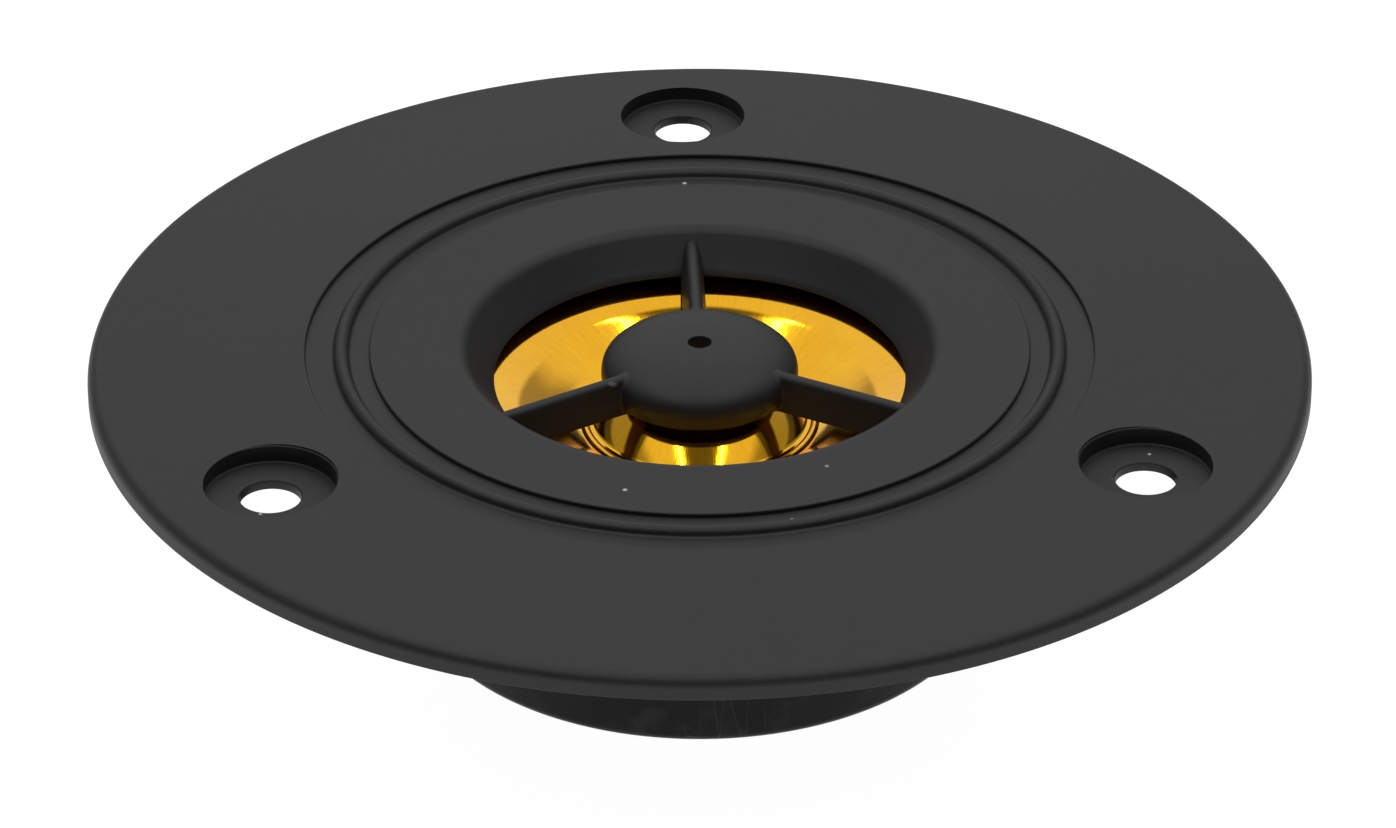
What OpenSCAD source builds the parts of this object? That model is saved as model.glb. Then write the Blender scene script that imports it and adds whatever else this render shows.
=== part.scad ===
// Horn-loaded car tweeter: a round three-hole flange with a moulded horn, a three-spoke
// phase plug over a metal diaphragm, and a ferrite motor closed in a rear cup.
// The origin is the centre of the screw circle on the flange's rear seating face.
// +Z points out of the front. Every size is in millimetres.

/* [Flange] */
// Outside diameter of the flange
flange_d = 94; // [90:1:104]
// Height of the inner disc's front face above the seating face
flange_t = 2.4; // [2.2:0.1:3]
// How far the front face falls from the groove to the rim
dome_fall = 0.6; // [0.3:0.1:0.8]
// Radius of the rounded front edge of the rim
rim_r = 0.9; // [0.6:0.1:1.5]
// Diameter of the screw circle
screw_pcd = 75.5; // [74:0.5:76]
// Number of flange screws
screw_count = 3; // [3:1:6]
// Diameter of each screw's through hole
screw_hole_d = 4.6; // [4:0.1:5]
// Diameter of each screw's counterbore
counterbore_d = 10; // [9:0.5:11]
// Thickness of the flange left under each counterbore
counterbore_web = 0.75; // [0.6:0.05:1]

/* [Ring groove] */
// Radius of the groove's outer step
groove_outer_r = 30.3; // [30:0.1:31]
// Radius of the groove's inner step
groove_inner_r = 25.4; // [25:0.1:26]
// Radius of the middle of the raised bead
bead_r = 27.95; // [27.7:0.05:28.2]
// Width of the raised bead
bead_w = 1.1; // [0.9:0.1:1.3]
// Depth of the groove at its two steps
groove_edge_depth = 0.35; // [0.2:0.05:0.5]
// Depth of the groove at the foot of the bead
groove_foot_depth = 1.2; // [0.9:0.1:1.3]

/* [Horn] */
// Radius of the horn's mouth
mouth_r = 18.2; // [17.8:0.1:18.4]
// Radius of the horn's throat
throat_r = 15.8; // [15.5:0.1:16]
// Radius of the rounded lip of the mouth
lip_r = 1.2; // [0.8:0.1:1.5]
// How far the boss round the throat stands behind the seating face
throat_depth = 0.95; // [0.8:0.05:1]

/* [Phase plug] */
// Radius of the plug at its widest
plug_r = 7.6; // [7:0.1:8]
// Height of the plug above its widest ring
plug_h = 2.8; // [2.5:0.1:3]
// Wall thickness at the top of the hollow plug
plug_wall = 1.25; // [1:0.05:1.5]
// Diameter of the vent hole in the plug
plug_vent_d = 1.8; // [1.5:0.1:2.2]
// Thickness of a spoke at its rounded top edge
spoke_w = 1.1; // [1:0.1:1.4]
// Thickness of a spoke at its foot
spoke_foot_w = 1.9; // [1.4:0.1:2.2]
// Height of the top edge of a spoke above the seating face
spoke_top = 1.6; // [1.4:0.1:1.8]

/* [Diaphragm] */
// Radius of the cone's outer edge
cone_r = 16.45; // [16.2:0.05:16.5]
// Height of the cone's face at the throat's radius
cone_top_z = -1.8; // [-2:0.1:-1.8]
// Radius of the dome's edge
dome_edge_r = 8.3; // [8.2:0.05:8.35]
// Radius of the sphere that the dome is part of
dome_sphere_r = 11.2; // [11:0.1:12]
// Thickness of the pressed film
film_t = 0.15; // [0.1:0.05:0.15]
// Inside radius of the voice coil former
former_r = 8.5; // [8.45:0.05:8.5]
// Height of the coil winding
coil_h = 2; // [1.8:0.1:2.2]

/* [Motor and cup] */
// Radius of the front pole plate
top_plate_r = 21.1; // [20.9:0.1:21.1]
// Thickness of the front pole plate
top_plate_t = 2.8; // [2.4:0.1:3]
// Outside radius of the ferrite ring
magnet_r = 17.2; // [16.5:0.1:17.2]
// Thickness of the ferrite ring
magnet_t = 6.4; // [6:0.1:6.5]
// Radius of the pole piece
pole_r = 8; // [7.9:0.05:8]
// Outside radius of the rear cup
cup_r = 22.5; // [22.1:0.05:22.6]
// Depth of the rear cup behind the seating face
cup_depth = 19.7; // [19.2:0.1:20]
// Thickness of the cup's wall
cup_wall = 1; // [0.8:0.05:1]

/* [Terminals] */
// Width of the positive tab
positive_tab_w = 4.8; // [4.7:0.1:4.9]
// Width of the negative tab
negative_tab_w = 2.8; // [2.7:0.1:2.9]
// Thickness of both tabs
tab_t = 0.8; // [0.5:0.1:0.8]

/* [Hidden] */

$fn = 96;
ARC_STEPS = 8;
PLASTIC = [0.15, 0.15, 0.16];
GOLD = [0.95, 0.7, 0.12];
STEEL = [0.66, 0.67, 0.69];
COPPER = [0.78, 0.43, 0.24];
BRASS = [0.82, 0.69, 0.36];

rim_z = flange_t - dome_fall;
flange_r = flange_d / 2;
bead_z = flange_t - 0.1;

// The stack of the motor, from the throat to the cup's floor
carrier_r = [17.3, 21.1];
carrier_step_r = 18.2;
surround_t = 0.2;
carrier_top_z = -throat_depth;
carrier_bottom_z = -5.7;
gap_top_z = carrier_bottom_z;
magnet_top_z = gap_top_z - top_plate_t;
magnet_bottom_z = magnet_top_z - magnet_t;
back_plate_t = 2.7;
motor_bottom_z = magnet_bottom_z - back_plate_t;
back_plate_r = 20.5;
magnet_bore_r = 11;
gap_outer_r = 9.3;
pole_vent_r = 2;
press_gap = 0.02;

// The moving stack
former_t = 0.12;
former_outer_r = former_r + former_t;
former_top_z = -4.4;
former_bottom_z = -8.3;
coil_t = 0.36;
coil_top_z = -6.1;
cone_run = throat_r + 0.05;
cone_neck_r = former_outer_r + 0.02;
// Pairs of a radius and the cone's slope there in degrees: a flat rim, a crease and a steep inner part
cone_slopes = [[9.3, 17], [10, 25.5], [10.7, 30], [12, 26], [13.2, 24.5], [13.75, 21.5], [14.3, 14], [15.85, 11]];
dome_edge_z = -4.3;
dome_centre_z = dome_edge_z - sqrt(pow(dome_sphere_r, 2) - pow(dome_edge_r, 2));

// The screws that hold the motor to the faceplate
motor_screw_circle_r = 19.3;
motor_screw_r = 0.97;
motor_screw_angles = [30, 150, 270];
motor_screw_tip_z = 1.0;
motor_head_r = 1.75;
motor_head_h = 1.3;

// The terminal pad on the cup's +Y side
pad_w = 15;
pad_z = [-15, -7];
pad_y = 23;
board_t = 1;
rivet_z = -11;
rivet_r = 1;
rivet_x = 3.4;
tab_y = pad_y + board_t;
tab_step = 3;

// The leads run radially, one on each side of the +Y axis
lead_angles = [-10.4, 10.4];
lug_z = -4.1;
lug_r = [17.7, 20];
lead_wire_r = 19.8;

function ring_arc(centre, r, a0, a1) =
    [for (i = [0 : ARC_STEPS]) let (a = a0 + (a1 - a0) * i / ARC_STEPS)
        [centre[0] + r * cos(a), centre[1] + r * sin(a)]];

// Height of the cone's front face at a radius, by adding up its slopes from the throat inwards
function cone_z(r) = let (n = 60, dr = (cone_run - r) / n)
    cone_top_z - dr * ([for (i = [1 : n]) tan(lookup(cone_run - (i - 0.5) * dr, cone_slopes))]
                       * [for (i = [1 : n]) 1]);

// Height of a full, flat-topped oval of the third power at a radius
function oval_z(r, side_r, h) = h * pow(max(0, 1 - pow(r / side_r, 3)), 1 / 3);

module at_angles(angles, r) {
    for (a = angles) rotate([0, 0, a]) translate([r, 0, 0]) children();
}

module tube(r_in, r_out, z0, z1) {
    translate([0, 0, z0]) difference() {
        cylinder(r = r_out, h = z1 - z0);
        translate([0, 0, -1]) cylinder(r = r_in, h = z1 - z0 + 2);
    }
}

// The flange, horn wall and boss in one profile, from the seating face round to the throat,
// with the recess behind the horn's edge that clears the surround
module flange_and_horn() {
    wall_angle = atan((flange_t + 0.65) / (mouth_r - throat_r));
    lip_r_start = mouth_r + lip_r * tan(wall_angle / 2);
    bead_half = bead_w / 2;
    foot_z = flange_t - groove_foot_depth;
    step_z = flange_t - groove_edge_depth;
    recess_r = 16.95;
    rotate_extrude() polygon(concat(
        [[recess_r, -throat_depth], [top_plate_r - 0.1, -throat_depth], [top_plate_r - 0.1, 0], [flange_r, 0]],
        ring_arc([flange_r - rim_r, rim_z - rim_r], rim_r, 0, 88),
        [[groove_outer_r, flange_t], [groove_outer_r, step_z], [bead_r + bead_half + 0.15, foot_z],
         [bead_r + bead_half, foot_z + 0.1]],
        ring_arc([bead_r, bead_z - bead_half], bead_half, 0, 180),
        [[bead_r - bead_half, foot_z + 0.1], [bead_r - bead_half - 0.15, foot_z],
         [groove_inner_r, step_z], [groove_inner_r, flange_t - 0.15], [groove_inner_r - 0.15, flange_t]],
        ring_arc([lip_r_start, flange_t - lip_r], lip_r, 90, 90 + wall_angle),
        [[throat_r + 0.05, -0.3], [throat_r + 0.08, -0.42], [recess_r, -0.45]]));
}

module plug_shell() {
    widest_z = flange_t - plug_h;
    under_h = 1.6;
    hollow_r = plug_r - 0.8;
    hollow_z = widest_z - oval_z(hollow_r, plug_r, under_h);
    hollow_h = flange_t - plug_wall - hollow_z;
    outer_r = [for (i = [0 : 14]) plug_r * sin(90 * i / 14)];
    under_r = [for (i = [0 : 5]) plug_r - (plug_r - hollow_r) * i / 5];
    inner_r = [for (i = [0 : 10]) hollow_r * cos(90 * i / 10)];
    rotate_extrude() polygon(concat(
        [for (r = outer_r) [r, widest_z + oval_z(r, plug_r, plug_h)]],
        [for (i = [1 : 5]) [under_r[i], widest_z - oval_z(under_r[i], plug_r, under_h)]],
        [for (i = [1 : 10]) [inner_r[i], hollow_z + oval_z(inner_r[i], hollow_r, hollow_h)]]));
}

module spoke() {
    bottom_z = 0.05 - throat_depth;
    translate([plug_r - 0.45, 0, 0]) rotate([90, 0, 90])
        linear_extrude(height = mouth_r + 0.1 - plug_r) polygon(concat(
            ring_arc([0, spoke_top - spoke_w / 2], spoke_w / 2, 170, 10),
            [[spoke_foot_w / 2, bottom_z], [-spoke_foot_w / 2, bottom_z]]));
}

module flange_screw_cut() {
    floor_z = counterbore_web;
    edge = 0.35;
    top_z = flange_t - dome_fall * (screw_pcd / 2 - groove_outer_r) / (flange_r - groove_outer_r);
    rotate_extrude() polygon(concat(
        [[0, -1], [screw_hole_d / 2, -1], [screw_hole_d / 2, floor_z], [counterbore_d / 2, floor_z]],
        ring_arc([counterbore_d / 2 + edge, top_z - edge], edge, 180, 100),
        [[counterbore_d / 2 + edge, flange_t + 1], [0, flange_t + 1]]));
}

module faceplate() {
    color(PLASTIC) difference() {
        union() {
            flange_and_horn();
            plug_shell();
            at_angles([90, 210, 330], 0) spoke();
        }
        at_angles([for (i = [0 : screw_count - 1]) 90 + 360 * i / screw_count], screw_pcd / 2)
            flange_screw_cut();
        translate([0, 0, -1]) cylinder(d = plug_vent_d, h = flange_t + 2, $fn = 32);
        at_angles(motor_screw_angles, motor_screw_circle_r)
            translate([0, 0, -throat_depth - 1])
                cylinder(r = motor_screw_r + 0.03, h = throat_depth + 2.2, $fn = 32);
    }
}

// Cloth roll from under the cone's edge out to the lip that the carrier ring clamps
module surround() {
    under_z = cone_z(cone_r) - film_t - 0.02;
    lip_z = carrier_top_z;
    color([0.09, 0.09, 0.09]) rotate_extrude() polygon([
        [15.7, cone_z(15.7) - film_t - 0.02], [cone_r, under_z], [16.7, under_z - 0.08], [17, lip_z - 0.45],
        [carrier_r[0], lip_z], [carrier_step_r - 0.05, lip_z], [carrier_step_r - 0.05, lip_z - surround_t],
        [carrier_r[0] - 0.05, lip_z - surround_t], [17.15, lip_z - 0.7], [16.8, under_z - 0.28],
        [cone_r - 0.1, under_z - surround_t], [15.7, cone_z(15.7) - film_t - 0.02 - surround_t]]);
}

module cone() {
    steps = 24;
    radii = [for (i = [0 : steps]) cone_neck_r + (cone_r - cone_neck_r) * i / steps];
    color(GOLD) rotate_extrude() polygon(concat(
        [for (r = radii) [r, cone_z(r)]],
        [for (i = [0 : steps]) [radii[steps - i], cone_z(radii[steps - i]) - film_t]]));
}

module dome() {
    edge_angle = acos(dome_edge_r / dome_sphere_r);
    color(GOLD) rotate_extrude() polygon(concat(
        [[former_outer_r, former_top_z], [former_outer_r, dome_edge_z], [dome_edge_r, dome_edge_z]],
        ring_arc([0, dome_centre_z], dome_sphere_r, edge_angle, 90),
        ring_arc([0, dome_centre_z], dome_sphere_r - film_t, 90, edge_angle + 0.6)));
}

// Bead of glue round the neck, where the cone, the dome and the former meet
module neck_bead() {
    foot_r = 9.25;
    color(GOLD) rotate_extrude() polygon([
        [cone_neck_r, cone_z(cone_neck_r) + 0.01], [foot_r, cone_z(foot_r) + 0.01], [9.12, -4.33],
        [8.95, -4.23], [8.8, -4.2], [cone_neck_r, -4.24]]);
}

module coil_former() {
    color([0.85, 0.6, 0.2]) tube(former_r, former_outer_r, former_bottom_z, former_top_z);
}

module coil_winding() {
    color(COPPER) tube(former_outer_r, former_outer_r + coil_t, coil_top_z - coil_h, coil_top_z);
}

// Two braided leads that cross from the carrier ring to the former under the cone
module tinsel_leads() {
    lead_d = 0.3;
    inner = [former_outer_r + 0.05, -5.15];
    outer = [lug_r[0], lug_z + 0.15];
    span = outer - inner;
    color(COPPER) for (a = lead_angles) rotate([0, 0, a])
        translate([0, inner[0], inner[1]]) rotate([-90 + atan(span[1] / span[0]), 0, 0])
            cylinder(d = lead_d, h = norm(span), $fn = 16);
}

// Solder lugs in the carrier ring's notch, where the braided leads meet the lead wires
module lead_pads() {
    color(BRASS) for (a = lead_angles) rotate([0, 0, a])
        translate([-0.9, lug_r[0], lug_z]) cube([1.8, lug_r[1] - lug_r[0], 0.4]);
}

module carrier_ring() {
    color([0.2, 0.2, 0.21]) difference() {
        rotate_extrude() polygon([
            [carrier_r[0], carrier_bottom_z], [carrier_r[1], carrier_bottom_z], [carrier_r[1], carrier_top_z],
            [carrier_step_r, carrier_top_z], [carrier_step_r, carrier_top_z - surround_t],
            [carrier_r[0], carrier_top_z - surround_t]]);
        at_angles(motor_screw_angles, motor_screw_circle_r)
            translate([0, 0, carrier_bottom_z - 1]) cylinder(r = motor_screw_r + 0.08, h = 6, $fn = 32);
        translate([-7.5, 16, carrier_bottom_z - 1]) cube([15, 6, 3]);
    }
}

module top_plate() {
    color(STEEL) difference() {
        tube(gap_outer_r, top_plate_r, magnet_top_z, gap_top_z);
        at_angles(motor_screw_angles, motor_screw_circle_r)
            translate([0, 0, magnet_top_z - 1]) cylinder(r = motor_screw_r + 0.08, h = top_plate_t + 2, $fn = 32);
        translate([-7.5, 18.2, magnet_top_z - 1]) cube([15, 5, top_plate_t + 2]);
    }
}

module magnet_ring() {
    color([0.23, 0.23, 0.24]) tube(magnet_bore_r, magnet_r, magnet_bottom_z, magnet_top_z);
}

module back_plate() {
    color(STEEL) tube(pole_r + press_gap, back_plate_r, motor_bottom_z, magnet_bottom_z);
}

module pole_piece() {
    color(STEEL) tube(pole_vent_r, pole_r, motor_bottom_z, gap_top_z);
}

// Thin copper sleeve over the top of the pole, with a lip that locates it
module copper_cap() {
    cap_t = 0.13;
    color(COPPER) rotate_extrude() polygon([
        [pole_r + press_gap, -9.2], [pole_r + press_gap + cap_t, -9.2], [pole_r + press_gap + cap_t, gap_top_z + 0.15],
        [6.7, gap_top_z + 0.15], [6.7, gap_top_z + 0.01], [pole_r + press_gap, gap_top_z + 0.01]]);
}

module dome_felt() {
    color([0.5, 0.48, 0.42]) tube(pole_vent_r, 6.5, gap_top_z, gap_top_z + 2);
}

module motor_screws() {
    color([0.3, 0.3, 0.31]) at_angles(motor_screw_angles, motor_screw_circle_r) difference() {
        union() {
            translate([0, 0, magnet_top_z])
                cylinder(r = motor_screw_r, h = motor_screw_tip_z - magnet_top_z, $fn = 32);
            translate([0, 0, magnet_top_z - motor_head_h]) cylinder(r = motor_head_r, h = motor_head_h, $fn = 32);
        }
        for (turn = [0, 90]) rotate([0, 0, turn])
            translate([-1, -0.2, magnet_top_z - motor_head_h - 1]) cube([2, 0.4, 1.7]);
    }
}

module rear_felt() {
    color([0.16, 0.16, 0.16]) tube(pole_vent_r, back_plate_r - 0.5, cup_wall - cup_depth, motor_bottom_z);
}

module rivet_holes(r, y0, y1) {
    for (x = [-rivet_x, rivet_x]) translate([x, y0, rivet_z]) rotate([-90, 0, 0])
        cylinder(r = r, h = y1 - y0, $fn = 32);
}

module rear_cup() {
    edge = 0.8;
    inner_r = cup_r - cup_wall;
    color(PLASTIC) difference() {
        union() {
            rotate_extrude() polygon(concat(
                [[0, -cup_depth]], ring_arc([cup_r - edge, edge - cup_depth], edge, -90, 0), [[cup_r, 0], [0, 0]]));
            translate([-pad_w / 2, 0, pad_z[0]]) cube([pad_w, pad_y, pad_z[1] - pad_z[0]]);
        }
        translate([0, 0, cup_wall - cup_depth]) cylinder(r = inner_r, h = cup_depth);
        rivet_holes(rivet_r + 0.03, 18, pad_y + 1);
    }
}

module terminal_board() {
    color([0.45, 0.3, 0.16]) difference() {
        translate([-pad_w / 2 + 0.4, pad_y, pad_z[0] + 0.4])
            cube([pad_w - 0.8, board_t, pad_z[1] - pad_z[0] - 0.8]);
        rivet_holes(rivet_r + 0.03, pad_y - 1, pad_y + board_t + 1);
    }
}

// A blade that is riveted flat on the board, steps outwards and then runs towards the rear
module tab(x, w) {
    base_top_z = -8.6;
    step_z = -13.6;
    blade_z = -15.2;
    end_z = -19.2;
    difference() {
        translate([x - w / 2, 0, 0]) rotate([90, 0, 90]) linear_extrude(height = w) polygon([
            [tab_y, base_top_z], [tab_y + tab_t, base_top_z], [tab_y + tab_t, step_z + 0.3],
            [tab_y + tab_step + tab_t, blade_z + 0.3], [tab_y + tab_step + tab_t, end_z + 0.5],
            [tab_y + tab_step + tab_t - 0.2, end_z], [tab_y + tab_step + 0.2, end_z],
            [tab_y + tab_step, end_z + 0.5], [tab_y + tab_step, blade_z], [tab_y, step_z]]);
        rivet_holes(rivet_r + 0.03, tab_y - 1, tab_y + 2);
        translate([x, tab_y + tab_step - 1, -17.2]) rotate([-90, 0, 0]) cylinder(r = 0.6, h = 3, $fn = 24);
    }
}

module positive_tab() {
    color(BRASS) tab(-rivet_x, positive_tab_w);
}

module negative_tab() {
    color(STEEL) tab(rivet_x, negative_tab_w);
}

module terminal_rivets() {
    head_y = tab_y + tab_t;
    tail_y = sqrt(pow(cup_r - cup_wall, 2) - pow(rivet_x + 1.7, 2)) - 0.4;
    color(BRASS) for (x = [-rivet_x, rivet_x]) translate([x, 0, rivet_z]) rotate([-90, 0, 0]) {
        translate([0, 0, tail_y]) cylinder(r = rivet_r, h = head_y + 0.4 - tail_y, $fn = 32);
        translate([0, 0, head_y]) cylinder(r = 1.6, h = 0.5, $fn = 32);
        translate([0, 0, tail_y - 0.5]) cylinder(r = 1.6, h = 0.5, $fn = 32);
    }
}

// Insulated wires from the rivets' tails up to the lugs on the carrier ring
module lead_wires() {
    wire_d = 0.9;
    color([0.7, 0.1, 0.1]) for (a = lead_angles) rotate([0, 0, a])
        translate([0, lead_wire_r, rivet_z - 1]) cylinder(d = wire_d, h = lug_z - rivet_z + 1, $fn = 16);
}

faceplate();
surround();
cone();
dome();
neck_bead();
coil_former();
coil_winding();
tinsel_leads();
lead_pads();
carrier_ring();
top_plate();
magnet_ring();
back_plate();
pole_piece();
copper_cap();
dome_felt();
motor_screws();
rear_felt();
rear_cup();
terminal_board();
positive_tab();
negative_tab();
terminal_rivets();
lead_wires();
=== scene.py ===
import math

import bmesh
import bpy
from mathutils import Matrix, Vector


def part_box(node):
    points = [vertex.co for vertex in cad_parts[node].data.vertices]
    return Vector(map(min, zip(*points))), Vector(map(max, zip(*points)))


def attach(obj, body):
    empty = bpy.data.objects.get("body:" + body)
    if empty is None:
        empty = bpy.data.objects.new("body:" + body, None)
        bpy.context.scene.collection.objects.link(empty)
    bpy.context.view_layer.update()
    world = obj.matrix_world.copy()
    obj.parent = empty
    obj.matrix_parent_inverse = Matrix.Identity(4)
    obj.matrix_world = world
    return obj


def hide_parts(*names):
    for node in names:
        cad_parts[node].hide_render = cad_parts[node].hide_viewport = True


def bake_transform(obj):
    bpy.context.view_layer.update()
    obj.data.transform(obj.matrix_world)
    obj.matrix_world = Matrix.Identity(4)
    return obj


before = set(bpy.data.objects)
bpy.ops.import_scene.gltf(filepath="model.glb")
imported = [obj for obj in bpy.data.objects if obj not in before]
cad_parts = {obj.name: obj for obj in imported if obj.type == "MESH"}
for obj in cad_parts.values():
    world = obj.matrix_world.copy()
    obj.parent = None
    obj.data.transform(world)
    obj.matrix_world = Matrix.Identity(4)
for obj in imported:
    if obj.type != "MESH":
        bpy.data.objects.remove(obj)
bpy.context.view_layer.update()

# ---------------------------------------------------------------- faceplate
# One injection moulding of black glass-filled nylon with a fine spark-eroded grain. Its flange,
# ring groove, flared horn, three spokes and hollow plug are one piece, open at the throat.
MM = 0.001
flange_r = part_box("faceplate")[1].x
flange_t = 2.4 * MM
rim_z = 1.8 * MM
rim_round = 0.9 * MM
seat_ease = 0.03 * MM
groove_outer_r = 30.3 * MM
groove_inner_r = 25.4 * MM
groove_ease = 0.15 * MM
bead_r = 27.55 * MM
bead_half = 0.55 * MM
bead_foot_z = 2.02 * MM
bead_foot_round = 0.28 * MM
bead_foot_reach = 0.81 * MM
step_z = 2.05 * MM
mouth_r = 18.2 * MM
throat_r = 15.8 * MM
# The boss, the spokes and the surround's lip are set from the moulding's lowest point, which is
# the underside of the plug. The CAD's own boss ends 0.5 mm above it.
moulding_low_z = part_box("faceplate")[0].z
boss_r = 21.0 * MM
recess_r = 16.95 * MM
recess_z = -0.75 * MM
horn_edge = ((16.6, 0.33), (16.2, -0.15), (15.93, -0.48), (15.85, -0.64), (15.9, -0.73))
plug_r = 7.6 * MM
plug_h = 2.8 * MM
plug_under_h = 1.6 * MM
plug_wall = 0.8 * MM
plug_crown_t = 1.25 * MM
vent_r = 0.9 * MM


def arc(centre, radius, start, end, steps):
    """Points of a round corner, by its centre, radius and start and end angles in degrees."""
    angles = [math.radians(start + (end - start) * i / steps) for i in range(steps + 1)]
    return [(centre[0] + radius * math.cos(a), centre[1] + radius * math.sin(a)) for a in angles]


def between(start, end, steps):
    """Points that divide a straight stretch, without its start."""
    return [(start[0] + (end[0] - start[0]) * i / steps, start[1] + (end[1] - start[1]) * i / steps)
            for i in range(1, steps + 1)]


def turned(name, profile, segments=384):
    """A closed profile of (radius, height) points turned once round Z, with its faces outwards."""
    mesh = bpy.data.meshes.new(name)
    shape = bmesh.new()
    rings = []
    for i in range(segments):
        a = 2 * math.pi * i / segments
        rings.append([shape.verts.new((r * math.cos(a), r * math.sin(a), z)) for r, z in profile])
    count = len(profile)
    for i, ring in enumerate(rings):
        following = rings[(i + 1) % segments]
        for k in range(count):
            n = (k + 1) % count
            shape.faces.new((ring[k], following[k], following[n], ring[n]))
    bmesh.ops.remove_doubles(shape, verts=shape.verts, dist=1e-7)
    bmesh.ops.recalc_face_normals(shape, faces=shape.faces)
    shape.to_mesh(mesh)
    shape.free()
    made = bpy.data.objects.new(name, mesh)
    bpy.context.scene.collection.objects.link(made)
    return made


def applied(piece):
    """Turns a piece with modifiers into the plain mesh that they give."""
    depsgraph = bpy.context.evaluated_depsgraph_get()
    depsgraph.update()
    mesh = bpy.data.meshes.new_from_object(piece.evaluated_get(depsgraph))
    piece.modifiers.clear()
    piece.data = mesh
    return piece


def combined(piece, tools, operation):
    """Adds or cuts the tool solids, which are then removed."""
    for tool in tools:
        cut = piece.modifiers.new(tool.name, "BOOLEAN")
        cut.operation = operation
        cut.solver = "MANIFOLD"
        cut.object = tool
        applied(piece)
        bpy.data.objects.remove(tool)
    return piece


def shaded(piece, material, sharp=35):
    """Smooth shading that breaks at edges sharper than this angle in degrees."""
    piece.data.materials.clear()
    piece.data.materials.append(material)
    piece.data.shade_smooth()
    piece.data.set_sharp_from_angle(angle=math.radians(sharp))
    return piece


def moved(piece, matrix):
    piece.data.transform(matrix)
    return piece


def merged(name, pieces):
    """One object with the meshes of these pieces, which are then removed."""
    shape = bmesh.new()
    for piece in pieces:
        shape.from_mesh(piece.data)
        bpy.data.objects.remove(piece)
    mesh = bpy.data.meshes.new(name)
    shape.to_mesh(mesh)
    shape.free()
    made = bpy.data.objects.new(name, mesh)
    bpy.context.scene.collection.objects.link(made)
    return made


def spun(angle, distance, height=0.0):
    turn = Matrix.Rotation(math.radians(angle), 4, "Z")
    return turn @ Matrix.Translation((distance, 0, height))


def oval(r, side, height):
    """Height of a flat-topped oval of the third power."""
    return height * max(0.0, 1 - (r / side) ** 3) ** (1 / 3)


wall_angle = math.degrees(math.atan2(flange_t + 0.65 * MM, mouth_r - throat_r))
lip_round = 1.2 * MM
lip_start = mouth_r + lip_round * math.tan(math.radians(wall_angle / 2))
flange_profile = (
    [(recess_r, moulding_low_z), (boss_r, moulding_low_z), (boss_r, 0)]
    + [(flange_r - seat_ease, 0), (flange_r, seat_ease)]
    + arc((flange_r - rim_round, rim_z - rim_round), rim_round, 0, 88, 14)
    + between((flange_r - rim_round, rim_z), (groove_outer_r + groove_ease, flange_t), 8)
    + arc((groove_outer_r + groove_ease, flange_t - groove_ease), groove_ease, 90, 180, 4)
    + [(groove_outer_r, step_z), (29.4 * MM, step_z - 0.03 * MM)]
    + arc((bead_r + bead_foot_reach, bead_foot_z + bead_foot_round), bead_foot_round, 270, 190, 5)
    + arc((bead_r, bead_foot_z + 0.08 * MM), bead_half, 21, 159, 14)
    + arc((bead_r - bead_foot_reach, bead_foot_z + bead_foot_round), bead_foot_round, -10, -90, 5)
    + [(26.0 * MM, step_z - 0.03 * MM), (groove_inner_r, step_z)]
    + arc((groove_inner_r - groove_ease, flange_t - groove_ease), groove_ease, 0, 90, 4)
    + between((groove_inner_r - groove_ease, flange_t), (lip_start + 0.3 * MM, flange_t), 4)
    + arc((lip_start, flange_t - lip_round), lip_round, 90, 90 + wall_angle, 12)
    + [(r * MM, z * MM) for r, z in horn_edge] + [(recess_r, recess_z)]
)
faceplate = turned("faceplate_moulding", flange_profile, 512)

# The plug and its spokes are joined and softened together, as their roots are rounded in the mould.
widest_z = flange_t - plug_h
hollow_r = plug_r - plug_wall
hollow_z = widest_z - oval(hollow_r, plug_r, plug_under_h)
hollow_h = flange_t - plug_crown_t - hollow_z
outer = [plug_r * math.sin(math.radians(3 * i)) for i in range(2, 31)]
under = [plug_r - plug_wall * i / 6 for i in range(1, 7)]
inner = [hollow_r * math.cos(math.radians(4 * i)) for i in range(1, 22)]
plug_profile = (
    [(0, flange_t)] + [(r, widest_z + oval(r, plug_r, plug_h)) for r in outer]
    + [(r, widest_z - oval(r, plug_r, plug_under_h)) for r in under]
    + [(r, hollow_z + oval(r, hollow_r, hollow_h)) for r in inner] + [(0, hollow_z + hollow_h)]
)
plug = turned("plug", plug_profile, 96)
spoke_half = 0.55 * MM
spoke_foot_half = 0.98 * MM
spoke_top = 1.62 * MM
spoke_bottom = moulding_low_z + 0.05 * MM
spoke_span = (plug_r - 1.4 * MM, mouth_r + 0.5 * MM)
spokes = []
for angle in (90, 210, 330):
    section = [(spoke_half * c, spoke_top - spoke_half + spoke_half * s) for c, s in
               [(math.cos(math.radians(a)), math.sin(math.radians(a))) for a in range(10, 171, 20)]]
    section += [(-spoke_foot_half, spoke_bottom), (spoke_foot_half, spoke_bottom)]
    mesh = bpy.data.meshes.new("spoke")
    shape = bmesh.new()
    ends = [[shape.verts.new((x, y, z)) for y, z in section] for x in spoke_span]
    for k in range(len(section)):
        n = (k + 1) % len(section)
        shape.faces.new((ends[0][k], ends[0][n], ends[1][n], ends[1][k]))
    shape.faces.new(ends[0][::-1])
    shape.faces.new(ends[1])
    bmesh.ops.recalc_face_normals(shape, faces=shape.faces)
    shape.to_mesh(mesh)
    shape.free()
    spoke = bpy.data.objects.new("spoke", mesh)
    bpy.context.scene.collection.objects.link(spoke)
    spokes.append(moved(spoke, spun(angle, 0)))
spider = combined(plug, spokes, "UNION")
voxel = 0.11 * MM
remesh = spider.modifiers.new("voxels", "REMESH")
remesh.mode = "VOXEL"
remesh.voxel_size = voxel
applied(spider)
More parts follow.
